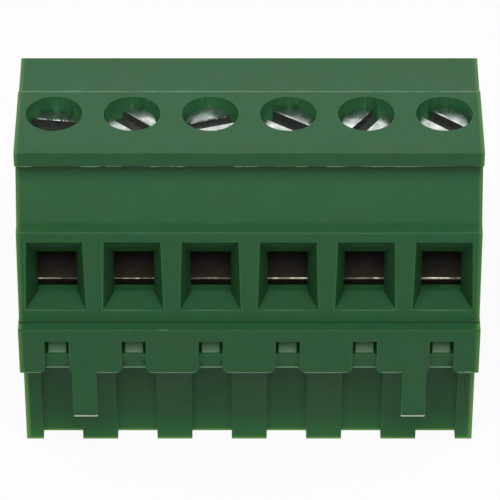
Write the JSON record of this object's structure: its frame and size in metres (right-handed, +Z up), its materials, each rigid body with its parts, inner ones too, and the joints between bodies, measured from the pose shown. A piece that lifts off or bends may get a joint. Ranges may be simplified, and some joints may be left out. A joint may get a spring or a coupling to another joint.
{
  "type": "pluggable terminal block",
  "caption": "Green pluggable screw terminal block with rising-cage clamps, wires in at the front, screws on top and sockets for header pins below.",
  "frame": {"origin": "centre of the underside, where the plug's ribs end", "axes": "+X along the row of poles, -Y towards the wire entries, +Z up out of the screw face"},
  "size_m": [0.0304, 0.014, 0.0251],
  "materials": {
    "moulded_polyamide": "satin, moulded green polyamide",
    "zinc_plated_screw": "bright zinc plate",
    "plated_clamp_steel": "dull plated steel",
    "tinned_contact": "tin-plated copper alloy"
  },
  "bodies": {
    "housing": {"terminal_housing": "moulded_polyamide", "plug_insert": "moulded_polyamide", "contact_1": "tinned_contact", "contact_2": "tinned_contact", "contact_3": "tinned_contact", "contact_4": "tinned_contact", "contact_5": "tinned_contact", "contact_6": "tinned_contact"},
    "screw_1": {"clamp_screw_1": "zinc_plated_screw"},
    "screw_2": {"clamp_screw_2": "zinc_plated_screw"},
    "screw_3": {"clamp_screw_3": "zinc_plated_screw"},
    "screw_4": {"clamp_screw_4": "zinc_plated_screw"},
    "screw_5": {"clamp_screw_5": "zinc_plated_screw"},
    "screw_6": {"clamp_screw_6": "zinc_plated_screw"},
    "cage_1": {"clamp_cage_1": "plated_clamp_steel"},
    "cage_2": {"clamp_cage_2": "plated_clamp_steel"},
    "cage_3": {"clamp_cage_3": "plated_clamp_steel"},
    "cage_4": {"clamp_cage_4": "plated_clamp_steel"},
    "cage_5": {"clamp_cage_5": "plated_clamp_steel"},
    "cage_6": {"clamp_cage_6": "plated_clamp_steel"}
  },
  "joints": [
    {"name": "screw_1_turn", "type": "hinge", "parent": "housing", "child": "screw_1", "pos_m": [-0.0127, 0.0001, 0.0242], "axis": [0, 0, -1], "range_deg": [0, 2520]},
    {"name": "cage_1_lift", "type": "slide", "parent": "housing", "child": "cage_1", "axis": [0, 0, 1], "range_m": [0, 0.00315]},
    {"name": "screw_2_turn", "type": "hinge", "parent": "housing", "child": "screw_2", "pos_m": [-0.00762, 0.0001, 0.0242], "axis": [0, 0, -1], "range_deg": [0, 2520]},
    {"name": "cage_2_lift", "type": "slide", "parent": "housing", "child": "cage_2", "axis": [0, 0, 1], "range_m": [0, 0.00315]},
    {"name": "screw_3_turn", "type": "hinge", "parent": "housing", "child": "screw_3", "pos_m": [-0.00254, 0.0001, 0.0242], "axis": [0, 0, -1], "range_deg": [0, 2520]},
    {"name": "cage_3_lift", "type": "slide", "parent": "housing", "child": "cage_3", "axis": [0, 0, 1], "range_m": [0, 0.00315]},
    {"name": "screw_4_turn", "type": "hinge", "parent": "housing", "child": "screw_4", "pos_m": [0.00254, 0.0001, 0.0242], "axis": [0, 0, -1], "range_deg": [0, 2520]},
    {"name": "cage_4_lift", "type": "slide", "parent": "housing", "child": "cage_4", "axis": [0, 0, 1], "range_m": [0, 0.00315]},
    {"name": "screw_5_turn", "type": "hinge", "parent": "housing", "child": "screw_5", "pos_m": [0.00762, 0.0001, 0.0242], "axis": [0, 0, -1], "range_deg": [0, 2520]},
    {"name": "cage_5_lift", "type": "slide", "parent": "housing", "child": "cage_5", "axis": [0, 0, 1], "range_m": [0, 0.00315]},
    {"name": "screw_6_turn", "type": "hinge", "parent": "housing", "child": "screw_6", "pos_m": [0.0127, 0.0001, 0.0242], "axis": [0, 0, -1], "range_deg": [0, 2520]},
    {"name": "cage_6_lift", "type": "slide", "parent": "housing", "child": "cage_6", "axis": [0, 0, 1], "range_m": [0, 0.00315]}
  ],
  "couplings": [
    {"joint": "screw_1_turn", "follows": "cage_1_lift", "rad_per_m": 13963},
    {"joint": "screw_2_turn", "follows": "cage_2_lift", "rad_per_m": 13963},
    {"joint": "screw_3_turn", "follows": "cage_3_lift", "rad_per_m": 13963},
    {"joint": "screw_4_turn", "follows": "cage_4_lift", "rad_per_m": 13963},
    {"joint": "screw_5_turn", "follows": "cage_5_lift", "rad_per_m": 13963},
    {"joint": "screw_6_turn", "follows": "cage_6_lift", "rad_per_m": 13963}
  ]
}
